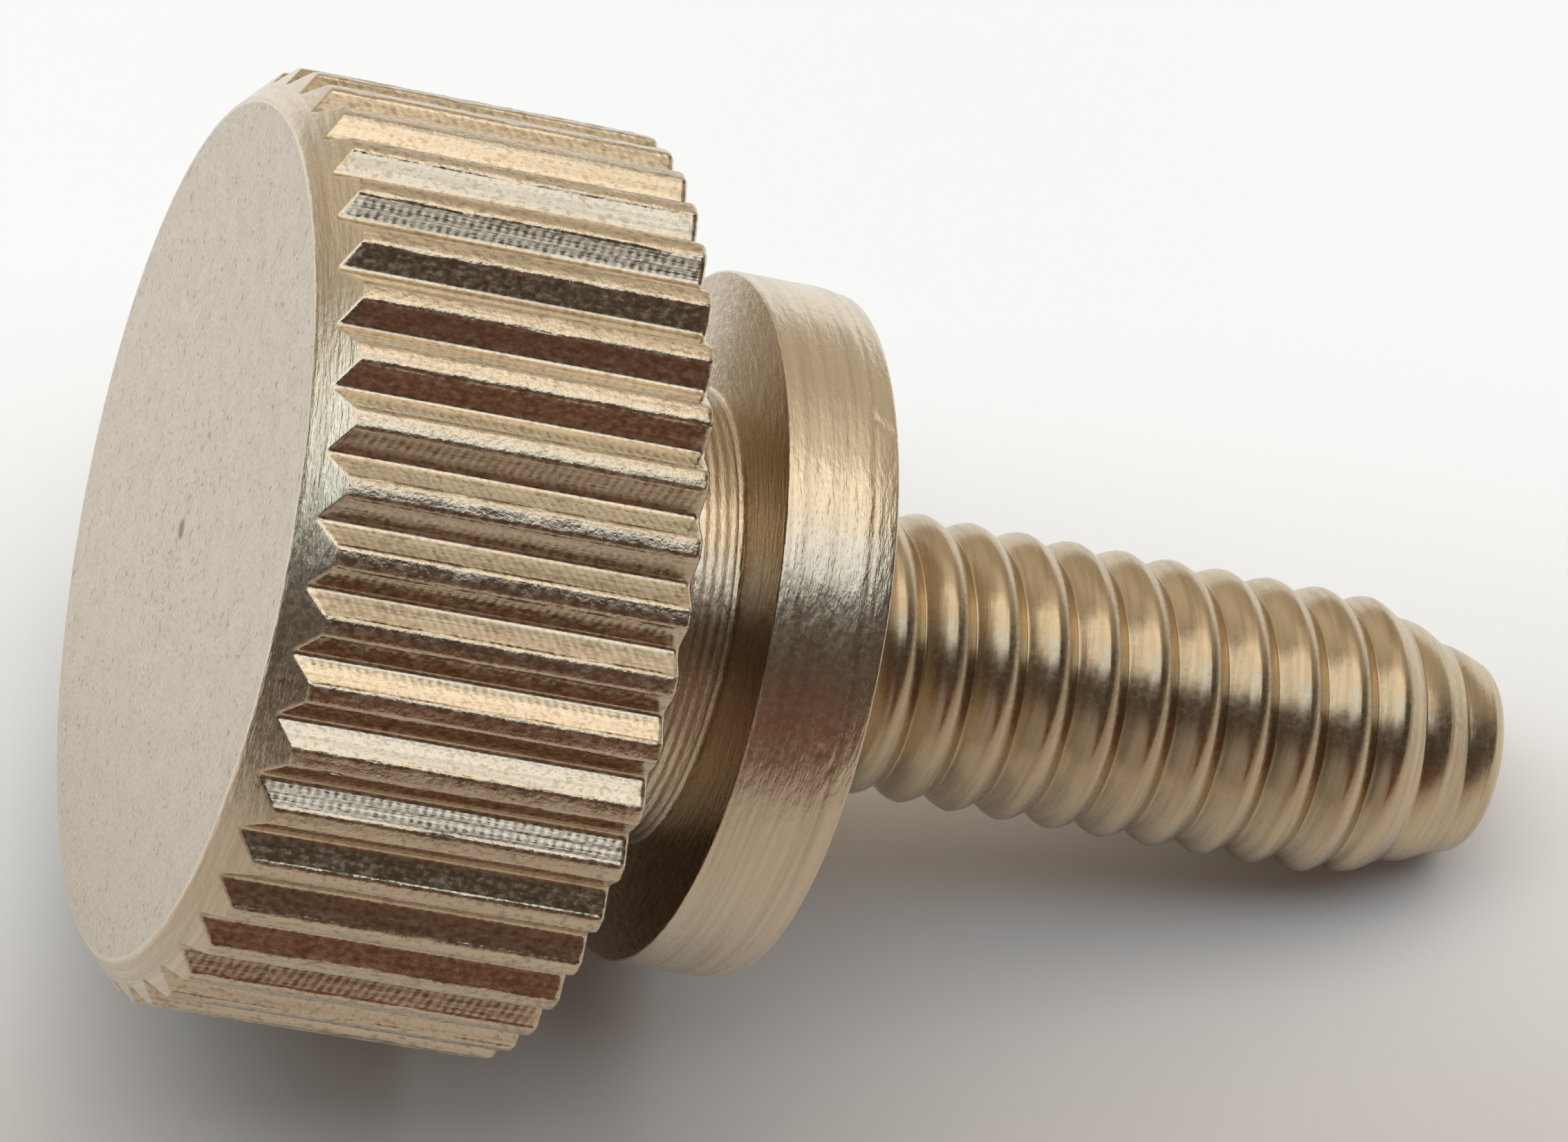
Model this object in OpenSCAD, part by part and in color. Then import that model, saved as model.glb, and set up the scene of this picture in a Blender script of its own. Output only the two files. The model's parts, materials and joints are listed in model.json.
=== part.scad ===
// Knurled thumb screw, turned in one piece, lying as it comes to rest on a table.
// The screw is drawn along its own axis with the front face of the head at zero,
// then laid down so that the rear rim of the head and the end of the shank touch the table.

/* [Head] */
// Diameter over the knurled head
head_d = 12; // [10:0.5:20]
// Length of the knurled head
head_len = 5; // [3:0.25:10]
// Width and depth of the 45-degree chamfer round the front face
face_chamfer = 0.48; // [0.32:0.02:0.8]
// Edge break round the rear rim of the head
rear_break = 0.08; // [0.04:0.02:0.2]

/* [Knurl] */
// Number of straight V grooves round the head
groove_count = 44; // [30:1:60]
// Depth of each groove, less than the chamfer so that its end runs out to a point
groove_depth = 0.27; // [0.15:0.01:0.3]
// Width of the flat land left between two grooves
land_w = 0.21; // [0.1:0.01:0.3]

/* [Neck and collar] */
// Diameter of the neck between the head and the collar
neck_d = 5.9; // [4.5:0.1:8]
// Length of the neck
neck_len = 1.5; // [0.5:0.1:4]
// Diameter of the collar
collar_d = 9; // [6:0.25:11]
// Length of the collar
collar_len = 1.5; // [0.8:0.1:4]
// Length of the shallow bevel on the shank side of the collar
bevel_len = 0.33; // [0.1:0.01:0.6]
// Drop of that bevel at the bearing face
bevel_drop = 0.05; // [0.02:0.01:0.3]

/* [Shank] */
// Nominal diameter of the thread
thread_d = 4; // [3:0.5:6]
// Pitch of the right-hand thread
thread_pitch = 0.7; // [0.5:0.05:1]
// How far the crests lie below the nominal diameter
crest_drop = 0.13; // [0.02:0.01:0.16]
// Length of the shank under the collar
shank_len = 9.8; // [6:0.2:25]
// Angle between the cone of the tip and the screw's axis
tip_angle = 20; // [15:1:45]
// Diameter of the flat end of the tip
tip_flat_d = 1.9; // [1:0.1:2]
// Radius that blends the cone into the flat end
tip_round = 0.35; // [0.1:0.05:0.4]

/* [Hidden] */
$fn = 96;

head_r = head_d / 2;
face_r = head_r - face_chamfer;
neck_r = neck_d / 2;
collar_r = collar_d / 2;
crest_r = thread_d / 2 - crest_drop;
tip_flat_r = tip_flat_d / 2;

// Stations along the axis, from the front face of the head
collar_start = head_len + neck_len;
collar_end = collar_start + collar_len;
total_len = collar_end + shank_len;

// The cone of the tip leaves its end radius at the tangent point and meets the shank at the shoulder
tangent_r = tip_flat_r + tip_round * cos(tip_angle);
tangent_z = total_len - tip_round + tip_round * sin(tip_angle);
shoulder_z = tangent_z - (crest_r - tangent_r) / tan(tip_angle);

// Knurl groove: straight flanks from the root to the two land edges on the head's surface
groove_pitch = 2 * PI * head_r / groove_count;
mouth_half_w = (groove_pitch - land_w) / 2;
mouth_r = sqrt(head_r * head_r - mouth_half_w * mouth_half_w);
root_r = head_r - groove_depth;
flank_slope = mouth_half_w / (mouth_r - root_r);
groove_open_r = head_r + groove_depth;
groove_overrun = neck_len / 2;

// Metric thread groove: 60-degree flanks, an eighth of the pitch left as a crest at the nominal diameter
thread_steps = 32;
thread_flank = tan(30);
thread_root_r = thread_d / 2 - 17 / 24 * thread_pitch * cos(30);
thread_open_r = crest_r + crest_drop / 2;
thread_start = collar_end + thread_pitch / 2;
thread_turns = shank_len / thread_pitch;
thread_last = ceil(thread_turns * thread_steps);
run_in_turns = 0.5;

// Width of the thread groove at a radius
function thread_w(r) = 7 / 8 * thread_pitch - 2 * (thread_d / 2 - r) * thread_flank;

// At rest the two lands beside the lowest knurl groove and one point behind the head touch the table
rim_z = head_len - rear_break;
rest_points = [
    [collar_end - bevel_len, collar_r],
    [collar_end, collar_r - bevel_drop],
    [shoulder_z, crest_r],
    [tangent_z, tangent_r]
];
tilt = min([for (p = rest_points) atan2(mouth_r - p[1], p[0] - rim_z)]);
rest_height = rim_z * sin(tilt) + mouth_r * cos(tilt);
lowest_x = -face_r * sin(tilt);
highest_x = (total_len - tip_round) * cos(tilt) + tip_flat_r * sin(tilt) + tip_round;
mid_x = (lowest_x + highest_x) / 2;

// Half section of the turned blank, radius across and axis upwards
module blank_section() {
    polygon([
        [0, 0],
        [face_r, 0],
        [head_r, face_chamfer],
        [head_r, rim_z],
        [head_r - rear_break, head_len],
        [neck_r, head_len],
        [neck_r, collar_start],
        [collar_r, collar_start],
        [collar_r, collar_end - bevel_len],
        [collar_r - bevel_drop, collar_end],
        [crest_r, collar_end],
        [crest_r, shoulder_z],
        [tangent_r, tangent_z],
        [tip_flat_r, total_len],
        [0, total_len]
    ]);
    translate([tip_flat_r, total_len - tip_round]) circle(tip_round);
}

// One knurl groove seen along the axis, open past the head's surface
module groove_section() {
    open_half_w = (groove_open_r - root_r) * flank_slope;
    polygon([[root_r, 0], [groove_open_r, open_half_w], [groove_open_r, -open_half_w]]);
}

// Straight knurl: every groove runs the length of the head and out into the neck
module knurl_grooves() {
    translate([0, 0, -groove_overrun])
        linear_extrude(height = head_len + 2 * groove_overrun)
            for (i = [0 : groove_count - 1])
                rotate(i * 360 / groove_count) groove_section();
}

// Corners of the thread groove at one step of the helix, sinking in over its first half turn
function thread_ring(i) =
    let(
        turn = i / thread_steps,
        z = thread_start + turn * thread_pitch,
        lift = (thread_open_r - thread_root_r) * max(0, 1 - turn / run_in_turns),
        root_half = thread_w(thread_root_r) / 2,
        open_half = thread_w(thread_open_r) / 2,
        corners = [
            [thread_root_r, -root_half],
            [thread_open_r, -open_half],
            [thread_open_r, open_half],
            [thread_root_r, root_half]
        ]
    )
    [for (c = corners) [(c[0] + lift) * cos(360 * turn), (c[0] + lift) * sin(360 * turn), z + c[1]]];

// Helical groove between the turns of the thread
module thread_groove() {
    corners = 4;
    rings = [for (i = [0 : thread_last]) thread_ring(i)];
    sides = [
        for (i = [0 : thread_last - 1], k = [0 : corners - 1])
            let(
                a = i * corners + k,
                b = i * corners + (k + 1) % corners
            )
            each [[a, b, b + corners], [a, b + corners, a + corners]]
    ];
    first_cap = [[2, 1, 0], [3, 2, 0]];
    end = thread_last * corners;
    last_cap = [[end, end + 1, end + 2], [end, end + 2, end + 3]];
    polyhedron(points = [for (ring = rings) each ring], faces = concat(first_cap, sides, last_cap));
}

// Turns the screw's axis from upright to its resting slope, with the tip towards +X
module lay_down() {
    translate([-mid_x, 0, rest_height]) rotate([0, 90 + tilt, 0]) children();
}

module thumb_screw() {
    color([0.76, 0.70, 0.60])
        lay_down()
            difference() {
                rotate_extrude() blank_section();
                knurl_grooves();
                thread_groove();
            }
}

thumb_screw();
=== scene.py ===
"""A knurled thumb screw of nickel-plated metal, lying on a pale table under soft light."""

import json
import math

import bmesh
import bpy
from mathutils import Matrix, Vector
from mathutils import noise as field


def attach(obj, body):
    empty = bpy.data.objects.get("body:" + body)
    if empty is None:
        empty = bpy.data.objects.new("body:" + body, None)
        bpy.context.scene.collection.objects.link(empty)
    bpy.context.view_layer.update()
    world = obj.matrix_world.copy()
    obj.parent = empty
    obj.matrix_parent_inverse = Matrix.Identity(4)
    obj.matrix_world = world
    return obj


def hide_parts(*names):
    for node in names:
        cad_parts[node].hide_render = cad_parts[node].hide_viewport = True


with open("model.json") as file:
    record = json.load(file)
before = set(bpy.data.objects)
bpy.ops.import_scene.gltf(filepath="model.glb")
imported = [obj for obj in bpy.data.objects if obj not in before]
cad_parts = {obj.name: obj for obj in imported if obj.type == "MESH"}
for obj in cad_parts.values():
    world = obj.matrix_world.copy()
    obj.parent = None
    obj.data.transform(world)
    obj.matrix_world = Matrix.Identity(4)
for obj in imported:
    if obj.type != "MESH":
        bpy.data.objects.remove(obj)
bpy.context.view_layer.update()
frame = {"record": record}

MM = 0.001
FULL_TURN = 2 * math.pi

# Head, in millimetres along the screw's own axis from its front face
HEAD_R = 6.0
HEAD_LEN = 5.0
FACE_CHAMFER = 0.48
FACE_R = HEAD_R - FACE_CHAMFER
FACE_EDGE = 0.05
REAR_BREAK = 0.102
CHAMFER_SUPPORT = (0.1, 0.9)
CENTRE_MARK_R = 0.15
CENTRE_MARK_RIM_R = 1.3 * CENTRE_MARK_R
CENTRE_MARK_FLOOR_R = 0.6 * CENTRE_MARK_R
CENTRE_MARK_DEPTH = 0.03

# Knurl: straight V grooves with narrow lands between them
GROOVES = 44
GROOVE_DEPTH = 0.27
LAND_W = 0.21
LAND_EDGE = 0.03
LAND_WEAR = 0.03
LAND_WEAR_PER_MM = 5
SIDE_ROWS = 26
GROOVE_ROOT_EDGE = 0.055
FLANK_FLAT = (0.11, 0.2, 0.82)
RUN_OUT_EDGE = 0.04
CHATTER_PITCH = 0.115
CHATTER_RISE = 0.19

# Neck and collar
NECK_R = 2.95
NECK_LEN = 1.5
NECK_FILLET = 0.08
NECK_RINGS = 10
NECK_RING_DEPTH = 0.018
COLLAR_R = 4.5
COLLAR_LEN = 1.5
COLLAR_EDGE = 0.035
COLLAR_ROWS = (0, 0.05, 0.3, 0.5, 0.58, 0.64, 0.70)
BEVEL_LEN = 0.33
BEVEL_DROP = 0.05
BEVEL_ROWS = 5
BEVEL_LINE = 0.03
BEVEL_LINE_DEPTH = 0.012
COLLAR_START = HEAD_LEN + NECK_LEN
COLLAR_END = COLLAR_START + COLLAR_LEN
# Nicks in the collar: angle in degrees, place, half length and half width, rise along them and depth
NICKS = (
    (178, 7.79, 0.20, 0.07, 1.2, 0.05),
    (234, 7.46, 0.22, 0.05, 0.5, 0.03),
    (238, 7.60, 0.16, 0.05, -0.3, 0.03),
)

# Threaded shank, with its size over the crests and its length from the part's record
mounts = {mount["name"]: mount for mount in frame["record"]["mounts"]}
SKIN_INSET = 0.006
CREST_R = mounts["thread"]["dims"]["r_mm"] - SKIN_INSET
SHANK_LEN = mounts["thread"]["dims"]["length_mm"] - SKIN_INSET
PITCH = 0.7
THREAD_DEPTH = 0.2
LOBE_CURVE = 1.6
LOBE_ROWS = (0, 0.12, 0.26, 0.41, 0.57, 0.74, 0.9)
ROOT_EDGE = 0.02
RUN_IN_TURNS = 0.5
TIP_ANGLE = math.radians(20)
TIP_FLAT_R = 0.95
TIP_ROUND = 0.35
TIP_BLEND = 0.06
TIP_GROOVE = 0.4
TOTAL_LEN = COLLAR_END + SHANK_LEN
# Where the tip's cone meets its rounded edge
TIP_CONE_END = TOTAL_LEN - TIP_ROUND + TIP_ROUND * math.sin(TIP_ANGLE)
TIP_CONE_END_R = TIP_FLAT_R + TIP_ROUND * math.cos(TIP_ANGLE)

# Columns round the turned parts and round one turn of the thread
TURNED_COLUMNS = 440
THREAD_COLUMNS = 96
TIP_ROWS = 8
MERGE = 1e-4
SHARP_ANGLE = math.radians(40)

# Numbers of the finishes, in the order of the body's material slots
FACE_FINISH, TURNED_FINISH, KNURLED_FINISH, THREADED_FINISH = range(4)
# Faces of the head that lean further to the front than this are its chamfer, not its side
SIDE_LEAN = -0.5


def place_of_screw():
    """Matrix that lays the screw, drawn upright in millimetres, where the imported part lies."""
    axis = Vector(mounts["thread"]["axis"])
    across = Vector((0, 1, 0))
    down = across.cross(axis)
    turn = Matrix((down, across, axis)).transposed()
    face_centre = Vector(mounts["thread"]["pos_m"]) - axis * COLLAR_END * MM
    return Matrix.Translation(face_centre) @ turn.to_4x4() @ Matrix.Scale(MM, 4)


def wire(bm, points):
    """Open line of edges through the points."""
    verts = [bm.verts.new(point) for point in points]
    for pair in zip(verts, verts[1:]):
        bm.edges.new(pair)
    return verts


def half_section(bm, outline, rounds):
    """Wire of an outline of (radius, place) points, with some corners rounded by (width, steps)."""
    verts = wire(bm, [(radius, 0, place) for radius, place in outline])
    for corner, (width, steps) in rounds.items():
        bmesh.ops.bevel(bm, geom=[verts[corner]], offset=width, segments=steps, profile=0.5,
                        affect='VERTICES', material=-1)


def turned(outline, rounds):
    """Skin of a turned form, open at both ends of its outline unless they lie on the axis."""
    bm = bmesh.new()
    half_section(bm, outline, rounds)
    bmesh.ops.spin(bm, geom=bm.verts[:] + bm.edges[:], axis=(0, 0, 1), cent=(0, 0, 0),
                   angle=FULL_TURN, steps=TURNED_COLUMNS, use_merge=True)
    bmesh.ops.remove_doubles(bm, verts=bm.verts, dist=MERGE)
    return bm


def knurl_section(bm, keep):
    """Wire across one groove, from the middle of one land to the middle of the next."""
    half_pitch = math.pi / GROOVES
    mouth_angle = half_pitch - math.asin(LAND_W / 2 / HEAD_R)
    land, mouth = (Vector((HEAD_R * math.cos(angle), HEAD_R * math.sin(angle), HEAD_LEN))
                   for angle in (half_pitch, mouth_angle))
    root = Vector((HEAD_R - GROOVE_DEPTH, 0, HEAD_LEN))
    half = [land, mouth] + [mouth.lerp(root, share) for share in FLANK_FLAT]
    other_half = [Vector((point.x, -point.y, point.z)) for point in half]
    verts = wire(bm, other_half + [root] + half[::-1])
    for corners, width in (((1, -2), LAND_EDGE), ((len(half),), GROOVE_ROOT_EDGE)):
        bmesh.ops.bevel(bm, geom=[verts[i] for i in corners], offset=width, segments=3, profile=0.5,
                        affect='VERTICES', material=-1)
    for vert in bm.verts:
        vert[keep] = vert.co.xy.length


def curve(start, corner, end, share):
    """Point on the smooth curve that leaves start and reaches end, bent towards corner."""
    first = start.lerp(corner, share)
    second = corner.lerp(end, share)
    return first.lerp(second, share)


def head_rows(section_r):
    """(radius, place) of each row of the head's skin, where the knurl has this radius, rear to front."""
    rear_face = Vector((section_r - REAR_BREAK, HEAD_LEN))
    rear_side = Vector((section_r, HEAD_LEN - REAR_BREAK))
    rear_corner = Vector((section_r, HEAD_LEN))
    run_out = Vector((section_r, section_r - FACE_R))
    side_start = run_out + Vector((0, RUN_OUT_EDGE))
    cone_end = run_out - Vector((1, 1)).normalized() * RUN_OUT_EDGE
    face_corner = Vector((FACE_R, 0))
    cone_start = face_corner + Vector((1, 1)).normalized() * FACE_EDGE
    face_edge = face_corner - Vector((FACE_EDGE, 0))
    thirds = (0, 1 / 3, 2 / 3, 1)
    rows = [Vector((NECK_R + 2 * NECK_FILLET, HEAD_LEN))]
    rows += [curve(rear_face, rear_corner, rear_side, share) for share in thirds]
    rows += [rear_side.lerp(side_start, number / SIDE_ROWS) for number in range(1, SIDE_ROWS)]
    rows += [curve(side_start, run_out, cone_end, share) for share in thirds]
    rows += [cone_end.lerp(cone_start, share) for share in CHAMFER_SUPPORT]
    rows += [curve(cone_start, face_corner, face_edge, share) for share in thirds]
    rows += [Vector((FACE_R - 2 * FACE_EDGE, 0)), Vector((CENTRE_MARK_RIM_R, 0))]
    rows += [Vector((CENTRE_MARK_R, 0)), Vector((CENTRE_MARK_FLOOR_R, CENTRE_MARK_DEPTH))]
    return rows


def wear_lands(bm, keep):
    """Lowers the lands a little here and there, so that their edges are uneven."""
    for vert in bm.verts:
        if vert[keep] > HEAD_R - LAND_EDGE and FACE_CHAMFER < vert.co.z < HEAD_LEN - REAR_BREAK:
            dip = LAND_WEAR * max(field.noise(vert.co * LAND_WEAR_PER_MM), 0)
            vert.co.xy *= 1 - dip / HEAD_R


def knurled_head():
    """Skin of the head: rear face, knurled side, chamfer with the grooves' run-outs, and front face."""
    bm = bmesh.new()
    keep = bm.verts.layers.float.new("section_r")
    knurl_section(bm, keep)
    row_count = len(head_rows(HEAD_R))
    row = bm.edges[:]
    put_row(row, lambda vert: head_rows(vert[keep])[0])
    for number in range(1, row_count):
        row = next_row(bm, row, lambda vert: head_rows(vert[keep])[number])
    bmesh.ops.spin(bm, geom=bm.verts[:] + bm.edges[:] + bm.faces[:], axis=(0, 0, 1), cent=(0, 0, 0),
                   angle=FULL_TURN * (GROOVES - 1) / GROOVES, steps=GROOVES - 1, use_duplicate=True)
    bmesh.ops.remove_doubles(bm, verts=bm.verts, dist=MERGE)
    wear_lands(bm, keep)
    bmesh.ops.contextual_create(bm, geom=ring_at(bm, CENTRE_MARK_DEPTH))
    return bm


def ring_at(bm, place):
    """Open edges that lie in the plane across the axis at this place."""
    return [edge for edge in bm.edges
            if edge.is_boundary and all(abs(vert.co.z - place) < MERGE for vert in edge.verts)]


def flat_between(bm, place):
    """Flat faces between the two open rings that lie at this place."""
    bmesh.ops.triangle_fill(bm, edges=ring_at(bm, place), use_beauty=True, normal=(0, 0, 1))


def next_row(bm, row, place_of):
    """Extrudes a row of edges, and puts each new vertex at the (radius, place) that is given for it."""
    made = bmesh.ops.extrude_edge_only(bm, edges=row)["geom"]
    row = [part for part in made if isinstance(part, bmesh.types.BMEdge)]
    put_row(row, place_of)
    return row


def put_row(row, place_of):
    """Moves each vertex of a row, within its own half plane, to the (radius, place) that is given for it."""
    for vert in {vert for edge in row for vert in edge.verts}:
        radius, place = place_of(vert)
        angle = math.atan2(vert.co.y, vert.co.x)
        vert.co = (radius * math.cos(angle), radius * math.sin(angle), place)


def neck_rings():
    """(radius, place) points of the shallow feed rings that the tool left on the neck."""
    step = (NECK_LEN - 2 * NECK_FILLET) / (4 * NECK_RINGS)
    dips = [NECK_RING_DEPTH * (1 - number % 4 / 3) for number in range(4 * NECK_RINGS + 1)]
    return [(NECK_R - dip, HEAD_LEN + NECK_FILLET + step * number) for number, dip in enumerate(dips)]


def bevel_rows():
    """(radius, place) points of the collar's bevel, with the thin line that is cut where it starts."""
    start = COLLAR_END - BEVEL_LEN
    shares = [BEVEL_LINE / BEVEL_LEN] + [number / BEVEL_ROWS for number in range(1, BEVEL_ROWS + 1)]
    line = [(COLLAR_R, start - BEVEL_LINE), (COLLAR_R - BEVEL_LINE_DEPTH, start)]
    return line + [(COLLAR_R - BEVEL_DROP * share, start + BEVEL_LEN * share) for share in shares]


def nick_collar(bm):
    """Presses the nicks into the collar's side."""
    for vert in bm.verts:
        radius = vert.co.xy.length
        turn = math.degrees(math.atan2(vert.co.y, vert.co.x)) % 360
        for angle, place, length, width, rise, depth in NICKS:
            along = math.radians(turn - angle) * COLLAR_R
            across = vert.co.z - place - rise * along
            if radius > COLLAR_R - 2 * BEVEL_DROP and abs(along) < length and abs(across) < width:
                dip = depth * (1 - abs(along) / length) * (1 - abs(across) / width)
                vert.co.xy *= 1 - dip / radius


def neck_and_collar():
    """Skin from the head's rear face to the bearing face, both left open in the middle."""
    neck = [(NECK_R, HEAD_LEN), *neck_rings(), (NECK_R, COLLAR_START)]
    side = [(COLLAR_R, COLLAR_START + COLLAR_LEN * share) for share in COLLAR_ROWS]
    first = (NECK_R + NECK_FILLET, HEAD_LEN)
    last = (CREST_R + NECK_FILLET, COLLAR_END)
    outline = [first, *neck, *side, *bevel_rows(), last]
    fillet = (NECK_FILLET / 2, 3)
    edge = (COLLAR_EDGE, 3)
    skin = turned(outline, {1: fillet, len(neck): fillet, len(neck) + 1: edge, len(outline) - 2: edge})
    nick_collar(skin)
    return skin


def cone_r(place):
    """Radius of the tip's cone, which goes on past the shank's shoulder."""
    return TIP_CONE_END_R + (TIP_CONE_END - place) * math.tan(TIP_ANGLE)


def lower_of(first, second, blend):
    """The lower of two radii, with the change from one to the other rounded over."""
    share = min(max(0.5 + (second - first) / (2 * blend), 0), 1)
    return second + (first - second) * share - blend * share * (1 - share)


def threaded_shank():
    """Skin of the thread from the bearing face to the tip's cone, and of the rounded flat end."""
    bm = bmesh.new()
    centre = COLLAR_END + PITCH / 2
    lobe = [(CREST_R - THREAD_DEPTH * share ** LOBE_CURVE, share * PITCH / 2) for share in LOBE_ROWS]
    first_half = [(radius, centre - 1.5 * PITCH + place) for radius, place in lobe]
    last_half = [(radius, centre - 0.5 * PITCH - place) for radius, place in lobe[::-1]]
    root = (CREST_R - THREAD_DEPTH, centre - PITCH)
    half_section(bm, first_half + [root] + last_half, {len(LOBE_ROWS): (ROOT_EDGE, 3)})
    bmesh.ops.spin(bm, geom=bm.verts[:] + bm.edges[:], axis=(0, 0, 1), cent=(0, 0, 0),
                   dvec=(0, 0, PITCH / THREAD_COLUMNS), angle=FULL_TURN, steps=THREAD_COLUMNS)
    turns = math.ceil(SHANK_LEN / PITCH) + 1
    bmesh.ops.spin(bm, geom=bm.verts[:] + bm.edges[:] + bm.faces[:], axis=(0, 0, 1), cent=(0, 0, 0),
                   dvec=(0, 0, PITCH), angle=0, steps=turns - 1, use_duplicate=True)
    bmesh.ops.remove_doubles(bm, verts=bm.verts, dist=MERGE)
    for vert in bm.verts:
        radius = vert.co.xy.length
        angle = math.atan2(vert.co.y, vert.co.x) % FULL_TURN
        turn = round((vert.co.z - centre) / PITCH - angle / FULL_TURN) + angle / FULL_TURN
        lift = THREAD_DEPTH * min(max(1 - turn / RUN_IN_TURNS, 0), 1)
        fade = min(max((TIP_CONE_END - vert.co.z) / PITCH, 0), 1)
        groove = TIP_GROOVE * fade * (CREST_R - radius)
        cut_r = lower_of(min(radius + lift, CREST_R), cone_r(vert.co.z) - groove, TIP_BLEND)
        vert.co.xy *= cut_r / radius
    for place, outside in ((COLLAR_END, -1), (TIP_CONE_END, 1)):
        bmesh.ops.bisect_plane(bm, geom=bm.verts[:] + bm.edges[:] + bm.faces[:], dist=MERGE,
                               plane_co=(0, 0, place), plane_no=(0, 0, outside), clear_outer=True)
    row = ring_at(bm, TIP_CONE_END)
    for step in range(1, TIP_ROWS + 1):
        angle = TIP_ANGLE + (math.pi / 2 - TIP_ANGLE) * step / TIP_ROWS
        radius = TIP_FLAT_R + TIP_ROUND * math.cos(angle)
        place = TOTAL_LEN - TIP_ROUND + TIP_ROUND * math.sin(angle)
        row = next_row(bm, row, lambda vert: (radius, place))
    bmesh.ops.contextual_create(bm, geom=row)
    return bm


def add_skin(bm, skin):
    """Takes another skin into a mesh under work."""
    mesh = bpy.data.meshes.new("skin")
    skin.to_mesh(mesh)
    skin.free()
    bm.from_mesh(mesh)
    bpy.data.meshes.remove(mesh)


def finish_at(spot, normal):
    """Number of the finish at a spot of the upright screw."""
    if spot.z < CENTRE_MARK_DEPTH + MERGE and spot.xy.length < FACE_R - FACE_EDGE:
        return FACE_FINISH
    if spot.z > COLLAR_END + MERGE:
        return THREADED_FINISH
    on_side = normal.z > SIDE_LEAN and spot.z < HEAD_LEN - MERGE
    return KNURLED_FINISH if on_side else TURNED_FINISH


def thumb_screw():
    """The whole screw as one closed mesh, in its place in the frame."""
    bm = knurled_head()
    add_skin(bm, neck_and_collar())
    flat_between(bm, HEAD_LEN)
    add_skin(bm, threaded_shank())
    flat_between(bm, COLLAR_END)
    bmesh.ops.remove_doubles(bm, verts=bm.verts, dist=MERGE)
    bmesh.ops.recalc_face_normals(bm, faces=bm.faces)
    for face in bm.faces:
        face.material_index = finish_at(face.calc_center_median(), face.normal)
    bmesh.ops.transform(bm, matrix=place_of_screw(), verts=bm.verts)
    mesh = bpy.data.meshes.new("thumb_screw_body")
    bm.to_mesh(mesh)
    bm.free()
    mesh.shade_smooth()
    mesh.set_sharp_from_angle(angle=SHARP_ANGLE)
    body = bpy.data.objects.new("thumb_screw_body", mesh)
    bpy.context.scene.collection.objects.link(body)
    return body


# Nickel's colour, with the darker tint of its tool marks
NICKEL = (0.80, 0.69, 0.54, 1)
NICKEL_DULL = (0.66, 0.555, 0.42, 1)
# Dark brown, used for random dark grains on the knurl and for painted shade on the walls beside the neck
NICKEL_STAIN_AND_SHADE = (0.40, 0.30, 0.19, 1)
# The thread's nickel, painted darker and more golden than the rest as painted shade, with the darker tint of
# its marks
NICKEL_SHADED_THREAD = (0.61, 0.49, 0.335, 1)
NICKEL_SHADED_THREAD_DULL = (0.49, 0.385, 0.255, 1)
NICKEL_MATTE = (0.79, 0.715, 0.62, 1)
NICKEL_MATTE_DULL = (0.67, 0.59, 0.49, 1)
NICKEL_PIT = (0.45, 0.39, 0.31, 1)
# Depths of the bumps in millimetres
FACE_GRAIN_DEPTH = 0.007
TURNED_MARK_DEPTH = 0.005
TURNED_FLECK_DEPTH = 0.016
TURNED_GRAIN_DEPTH = 0.001
DRAWN_LINE_DEPTH = 0.003
CHATTER_DEPTH = 0.0013
FLANK_GRAIN_DEPTH = 0.002
LAND_GRAIN_DEPTH = 0.012
THREAD_MARK_DEPTH = 0.003
THREAD_GRAIN_DEPTH = 0.001
# Roughness of each finish, from its smoothest to its roughest spots
FACE_ROUGH = (0.46, 0.54)
TURNED_ROUGH = (0.20, 0.31)
KNURL_ROUGH = (0.17, 0.34)
LAND_ROUGHER = 0.03
LAND_FADE_START = 0.05
LAND_FADE_END = 0.02
THREAD_ROUGH = (0.20, 0.30)
# Painted shade on the walls beside the neck, in the gap between head and collar: how sharply it ends at the
# collar's edge, and how it fades
SHADE_EDGE = 0.002
SHADE_GAP = 0.01
SHADE_FADE = 0.05


def add(tree, kind, values=None, **settings):
    """New shader node with its settings, and with inputs set to values or linked from sockets."""
    made = tree.nodes.new("ShaderNode" + kind)
    for name, value in settings.items():
        setattr(made, name, value)
    for name, value in (values or {}).items():
        if isinstance(value, bpy.types.NodeSocket):
            tree.links.new(value, made.inputs[name])
        else:
            made.inputs[name].default_value = value
    return made


def sum_of(tree, operation, first, second):
    """Result of a sum on two numbers, each a value or a socket."""
    return add(tree, "Math", {0: first, 1: second}, operation=operation).outputs[0]


def own_place(tree):
    """The place on the screw in its own millimetres, with Z along its axis from the front face."""
    shift, turn, size = place_of_screw().inverted().decompose()
    coords = add(tree, "TexCoord").outputs["Object"]
    values = {"Vector": coords, "Location": shift, "Rotation": turn.to_euler(), "Scale": size}
    return add(tree, "Mapping", values).outputs[0]


def own_radius(tree, place):
    """Distance from the screw's axis."""
    flat = add(tree, "VectorMath", {0: place, 1: (1, 1, 0)}, operation='MULTIPLY').outputs[0]
    return add(tree, "VectorMath", {0: flat}, operation='LENGTH').outputs["Value"]


def noise(tree, place, per_mm, detail=3, rough=0.6):
    """Noise with its own number of grains to the millimetre along each of the screw's axes."""
    scaled = add(tree, "VectorMath", {0: place, 1: per_mm}, operation='MULTIPLY').outputs[0]
    values = {"Vector": scaled, "Scale": 1, "Detail": detail, "Roughness": rough}
    return add(tree, "TexNoise", values).outputs["Fac"]


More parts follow.
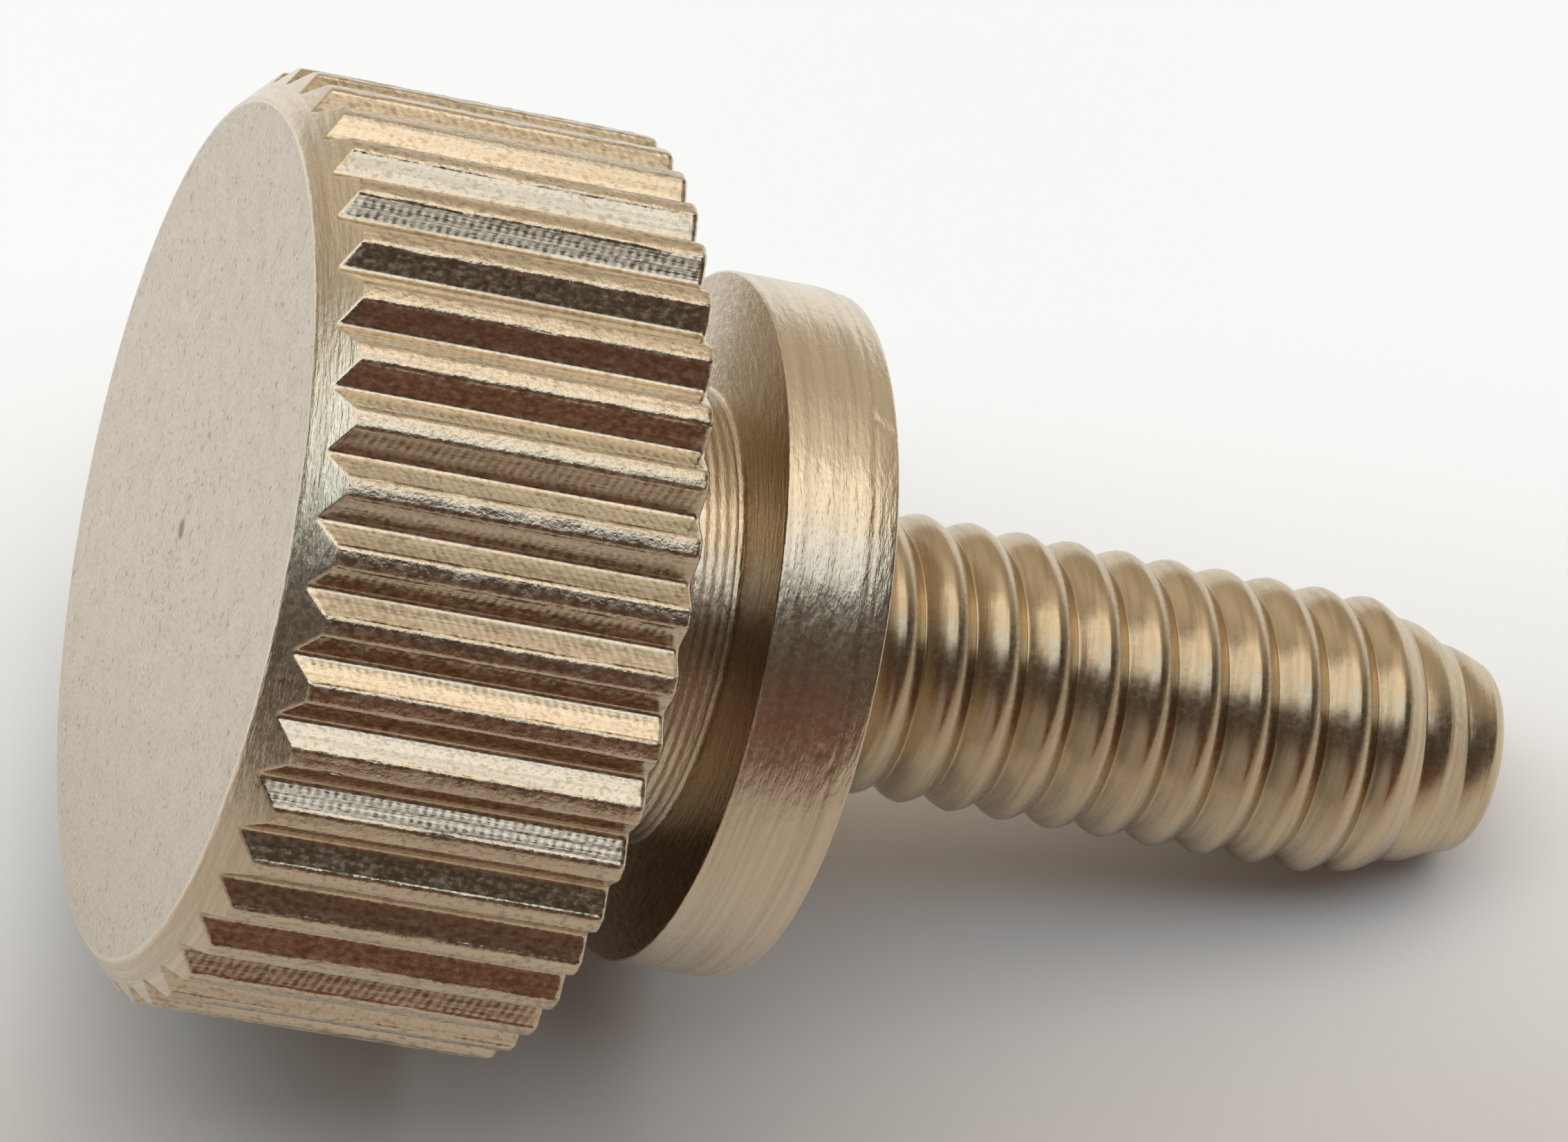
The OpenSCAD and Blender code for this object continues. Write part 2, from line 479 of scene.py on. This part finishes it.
def ramp(tree, value, low, high, to_low=0, to_high=1):
    """Smooth change of a value from one range to another."""
    values = {"Value": value, "From Min": low, "From Max": high, "To Min": to_low, "To Max": to_high}
    return add(tree, "MapRange", values, interpolation_type='SMOOTHSTEP').outputs["Result"]


def tint(tree, share, first, second):
    """Colour between two colours, each a value or a socket."""
    return add(tree, "Mix", {"Factor": share, 6: first, 7: second}, data_type='RGBA').outputs[2]


def relief(tree, height, depth_mm, normal=None):
    """Bumps of this depth, on top of other bumps where there are any."""
    values = {"Height": height, "Distance": depth_mm * MM, "Strength": 1}
    if normal:
        values["Normal"] = normal
    return add(tree, "Bump", values).outputs[0]


def metal(name):
    """New metal material: its node tree, its shader and the place on the screw."""
    material = bpy.data.materials.new(name)
    material.use_nodes = True
    tree = material.node_tree
    shader = tree.nodes["Principled BSDF"]
    shader.inputs["Metallic"].default_value = 1
    return material, tree, shader, own_place(tree)


def finish_metal(tree, shader, colour, roughness, normal):
    """Links a colour, a roughness and bumps to a metal's shader."""
    tree.links.new(colour, shader.inputs["Base Color"])
    tree.links.new(roughness, shader.inputs["Roughness"])
    tree.links.new(normal, shader.inputs["Normal"])


def matte_face_nickel():
    """Plating on the blasted front face: dull, with fine grains and small pits."""
    material, tree, shader, place = metal("nickel_matte_face")
    grain = noise(tree, place, (15, 15, 15))
    cloud = noise(tree, place, (2.5, 2.5, 2.5), detail=4)
    middle = ramp(tree, own_radius(tree, place), 2.2, 0.2, 0, 0.05)
    patchy = sum_of(tree, 'ADD', sum_of(tree, 'MULTIPLY', cloud, 0.16), middle)
    pits = ramp(tree, sum_of(tree, 'ADD', noise(tree, place, (7, 7, 7), detail=2), patchy), 0.70, 0.78)
    colour = tint(tree, ramp(tree, grain, 0.32, 0.68), NICKEL_MATTE_DULL, NICKEL_MATTE)
    mark = ramp(tree, own_radius(tree, place), CENTRE_MARK_R, CENTRE_MARK_R * 0.7)
    dark = sum_of(tree, 'MAXIMUM', sum_of(tree, 'MULTIPLY', pits, 0.7), mark)
    colour = tint(tree, dark, colour, NICKEL_PIT)
    height = sum_of(tree, 'SUBTRACT', grain, pits)
    bumps = relief(tree, height, FACE_GRAIN_DEPTH)
    finish_metal(tree, shader, colour, ramp(tree, cloud, 0.3, 0.7, *FACE_ROUGH), bumps)
    return material


def turned_nickel():
    """Plating on turned faces, with fine tool marks round the axis, and painted shade on the walls beside the
    neck.
    """
    material, tree, shader, place = metal("nickel_turned")
    radius = own_radius(tree, place)
    outwards = add(tree, "CombineXYZ", {2: radius}).outputs[0]
    spread = add(tree, "VectorMath", {0: place, 1: outwards}, operation='ADD').outputs[0]
    marks = noise(tree, spread, (0.25, 0.25, 9), detail=4)
    flecks = noise(tree, spread, (3, 3, 12), detail=3)
    grain = noise(tree, place, (11, 11, 11))
    colour = tint(tree, ramp(tree, marks, 0.3, 0.6), NICKEL_DULL, NICKEL)
    along = add(tree, "SeparateXYZ", {0: place}).outputs[2]
    # Painted shade: the head's rear face and the collar's front wall beside the neck are coloured darker
    gap_shade = ramp(tree, along, COLLAR_START + SHADE_EDGE, COLLAR_START - SHADE_EDGE)
    rear = ramp(tree, along, HEAD_LEN - 2 * SHADE_FADE, HEAD_LEN - SHADE_FADE)
    gap_shade = sum_of(tree, 'MULTIPLY', gap_shade, rear)
    inner_r = NECK_R + SHADE_GAP
    gap_shade = sum_of(tree, 'MULTIPLY', gap_shade, ramp(tree, radius, inner_r, inner_r + SHADE_FADE))
    colour = tint(tree, gap_shade, colour, NICKEL_STAIN_AND_SHADE)
    bumps = relief(tree, flecks, TURNED_FLECK_DEPTH, relief(tree, marks, TURNED_MARK_DEPTH))
    bumps = relief(tree, grain, TURNED_GRAIN_DEPTH, bumps)
    finish_metal(tree, shader, colour, ramp(tree, grain, 0.3, 0.7, *TURNED_ROUGH), bumps)
    return material


def knurled_nickel():
    """Plating on the knurl: drawn lines and grains on the flanks, chatter across them, and rough lands."""
    material, tree, shader, place = metal("nickel_knurled")
    radius = own_radius(tree, place)
    land = ramp(tree, radius, HEAD_R - LAND_FADE_START, HEAD_R - LAND_FADE_END)
    drawn = noise(tree, place, (13, 13, 0.25), detail=2)
    grain = noise(tree, place, (14, 14, 9), detail=3)
    colour = tint(tree, ramp(tree, drawn, 0.3, 0.6), NICKEL_DULL, NICKEL)
    colour = tint(tree, ramp(tree, grain, 0.50, 0.36, 0, 0.6), colour, NICKEL_STAIN_AND_SHADE)
    along = add(tree, "SeparateXYZ", {0: place}).outputs[2]
    sway = noise(tree, place, (0.8, 0.8, 0.2), detail=1)
    phase = sum_of(tree, 'ADD', sum_of(tree, 'MULTIPLY', along, FULL_TURN / CHATTER_PITCH),
                   sum_of(tree, 'MULTIPLY', sway, FULL_TURN))
    waves = add(tree, "Math", {0: phase}, operation='SINE').outputs[0]
    rise = sum_of(tree, 'MULTIPLY', radius, FULL_TURN / CHATTER_RISE)
    chatter = sum_of(tree, 'MULTIPLY', waves, add(tree, "Math", {0: rise}, operation='SINE').outputs[0])
    rough_land = sum_of(tree, 'MULTIPLY', noise(tree, place, (15, 15, 13), detail=3), land)
    bumps = relief(tree, chatter, CHATTER_DEPTH, relief(tree, drawn, DRAWN_LINE_DEPTH))
    bumps = relief(tree, grain, FLANK_GRAIN_DEPTH, bumps)
    bumps = relief(tree, rough_land, LAND_GRAIN_DEPTH, bumps)
    flank_rough = ramp(tree, grain, 0.45, 0.65, *KNURL_ROUGH)
    roughness = sum_of(tree, 'ADD', flank_rough, sum_of(tree, 'MULTIPLY', land, LAND_ROUGHER))
    finish_metal(tree, shader, colour, roughness, bumps)
    return material


def threaded_nickel():
    """Plating on the thread, painted darker and more golden than the other nickel as painted shade, with
    faint marks along its turns.
    """
    material, tree, shader, place = metal("nickel_threaded")
    marks = noise(tree, place, (0.6, 0.6, 12), detail=3)
    grain = noise(tree, place, (12, 12, 12))
    colour = tint(tree, ramp(tree, marks, 0.3, 0.6), NICKEL_SHADED_THREAD_DULL, NICKEL_SHADED_THREAD)
    bumps = relief(tree, grain, THREAD_GRAIN_DEPTH, relief(tree, marks, THREAD_MARK_DEPTH))
    finish_metal(tree, shader, colour, ramp(tree, grain, 0.3, 0.7, *THREAD_ROUGH), bumps)
    return material


# Table: how much light it throws back, and how it shows, white behind the screw and greyer towards its front,
# where the grey is painted shade.
# The white is above 1 because under these lamps a colour shows at little more than half of its value.
TABLE_HALF_W = 1.5
TABLE_BOUNCE = (0.3, 0.3, 0.3, 1)
TABLE_WHITE = (1.58, 1.66, 1.78, 1)
TABLE_SHADE_GREY = (0.84, 0.77, 0.71, 1)
TABLE_SHADE_Y = -13 * MM
TABLE_UNSHADED_Y = 8 * MM


def table():
    """Pale table that the screw lies on, with the screw's shadow and painted shade towards its front."""
    bm = bmesh.new()
    bmesh.ops.create_grid(bm, x_segments=1, y_segments=1, size=TABLE_HALF_W)
    mesh = bpy.data.meshes.new("table")
    bm.to_mesh(mesh)
    bm.free()
    top = bpy.data.objects.new("table", mesh)
    bpy.context.scene.collection.objects.link(top)
    material = bpy.data.materials.new("pale_table")
    material.use_nodes = True
    tree = material.node_tree
    path = add(tree, "LightPath")
    seen = sum_of(tree, 'MAXIMUM', path.outputs["Is Camera Ray"], path.outputs["Is Glossy Ray"])
    seen = sum_of(tree, 'MAXIMUM', seen, path.outputs["Is Transmission Ray"])
    direct = sum_of(tree, 'LESS_THAN', path.outputs["Diffuse Depth"], 1)
    seen = sum_of(tree, 'MULTIPLY', seen, direct)
    spot = add(tree, "TexCoord").outputs["Object"]
    back = add(tree, "SeparateXYZ", {0: spot}).outputs["Y"]
    # Painted shade: the table turns grey towards its front
    shown = tint(tree, ramp(tree, back, TABLE_SHADE_Y, TABLE_UNSHADED_Y), TABLE_SHADE_GREY, TABLE_WHITE)
    colour = tint(tree, seen, TABLE_BOUNCE, shown)
    surface = add(tree, "BsdfDiffuse", {"Color": colour})
    tree.links.new(surface.outputs[0], tree.nodes["Material Output"].inputs["Surface"])
    mesh.materials.append(material)


# Camera: how it looks down, turns and leans, and where the middle of the head's face lies in its view
CAMERA_LENS = 210.4
SENSOR_W = 36
CAMERA_NEAR = 10 * MM
CAMERA_DOWN = math.radians(54.72)
CAMERA_TURN = math.radians(-2.093)
CAMERA_LEAN = math.radians(-0.294)
FACE_IN_VIEW = Vector((-7.600, 0.532, -115.517)) * MM


def camera():
    """Camera at the photograph's viewing angle."""
    data = bpy.data.cameras.new("camera")
    data.lens = CAMERA_LENS
    data.sensor_width = SENSOR_W
    data.sensor_fit = 'HORIZONTAL'
    data.clip_start = CAMERA_NEAR
    eye = bpy.data.objects.new("camera", data)
    bpy.context.scene.collection.objects.link(eye)
    turn = (Matrix.Rotation(CAMERA_TURN, 3, 'Z') @ Matrix.Rotation(math.pi / 2 - CAMERA_DOWN, 3, 'X')
            @ Matrix.Rotation(CAMERA_LEAN, 3, 'Z'))
    face_centre = place_of_screw().translation
    eye.matrix_world = Matrix.Translation(face_centre - turn @ FACE_IN_VIEW) @ turn.to_4x4()
    bpy.context.scene.camera = eye


# Glows of the room: elevation and azimuth of the middle, full and faded half widths in degrees, colour
ROOM_DIM = (0.075, 0.060, 0.048)
GLOWS = (
    (2, -72, 12, 40, (0.07, 0.01, 0.0)),
    (24, 74, 25, 72, (0.44, 0.385, 0.30)),
    (24, 132, 12, 40, (0.22, 0.20, 0.17)),
    (12, 245, 10, 34, (0.30, 0.27, 0.24)),
)
# Softboxes over the screw: name, middle and size in millimetres, colour and brightness
SOFTBOXES = (
    ("front_softbox", (75, -30, 138), (198, 54), (0.81, 0.91, 1.0), 1.2),
    ("right_softbox", (75, 30, 138), (198, 66), (1.0, 0.94, 0.84), 1.0),
    ("back_softbox", (81, 105, 138), (186, 84), (1.0, 0.93, 0.82), 0.25),
    ("left_softbox", (-162, 21, 138), (144, 108), (0.77, 0.92, 1.0), 1.4),
    ("middle_softbox", (-57, 10, 138), (66, 90), (1.0, 0.96, 0.88), 1.1),
)


def towards(elevation, azimuth):
    """Unit vector to a place in the room, with its angles in degrees from the table and from +X."""
    rise = math.radians(elevation)
    turn = math.radians(azimuth)
    return Vector((math.cos(rise) * math.cos(turn), math.cos(rise) * math.sin(turn), math.sin(rise)))


def room():
    """Dim light of the room round the table, with soft glows in it."""
    world = bpy.data.worlds.new("room")
    bpy.context.scene.world = world
    world.use_nodes = True
    tree = world.node_tree
    direction = add(tree, "TexCoord").outputs["Generated"]
    total = add(tree, "CombineXYZ", {0: ROOM_DIM[0], 1: ROOM_DIM[1], 2: ROOM_DIM[2]}).outputs[0]
    for elevation, azimuth, full, faded, colour in GLOWS:
        aim = {0: direction, 1: towards(elevation, azimuth)}
        facing = add(tree, "VectorMath", aim, operation='DOT_PRODUCT').outputs["Value"]
        share = ramp(tree, facing, math.cos(math.radians(faded)), math.cos(math.radians(full)))
        total = add(tree, "VectorMath", {0: share, 1: colour, 2: total}, operation='MULTIPLY_ADD').outputs[0]
    tree.links.new(total, tree.nodes["Background"].inputs["Color"])


def softboxes():
    """Soft lamps above the screw, which face straight down."""
    for name, middle, size, colour, brightness in SOFTBOXES:
        lamp = bpy.data.lights.new(name, 'AREA')
        lamp.shape = 'RECTANGLE'
        lamp.size, lamp.size_y = (side * MM for side in size)
        lamp.color = colour
        lamp.energy = math.pi * lamp.size * lamp.size_y * brightness
        holder = bpy.data.objects.new(name, lamp)
        holder.location = Vector(middle) * MM
        holder.visible_camera = False
        bpy.context.scene.collection.objects.link(holder)


body = thumb_screw()
for finish in (matte_face_nickel(), turned_nickel(), knurled_nickel(), threaded_nickel()):
    body.data.materials.append(finish)
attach(body, "root")
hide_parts("thumb_screw")
table()
camera()
room()
softboxes()
bpy.context.scene.view_settings.view_transform = 'Standard'
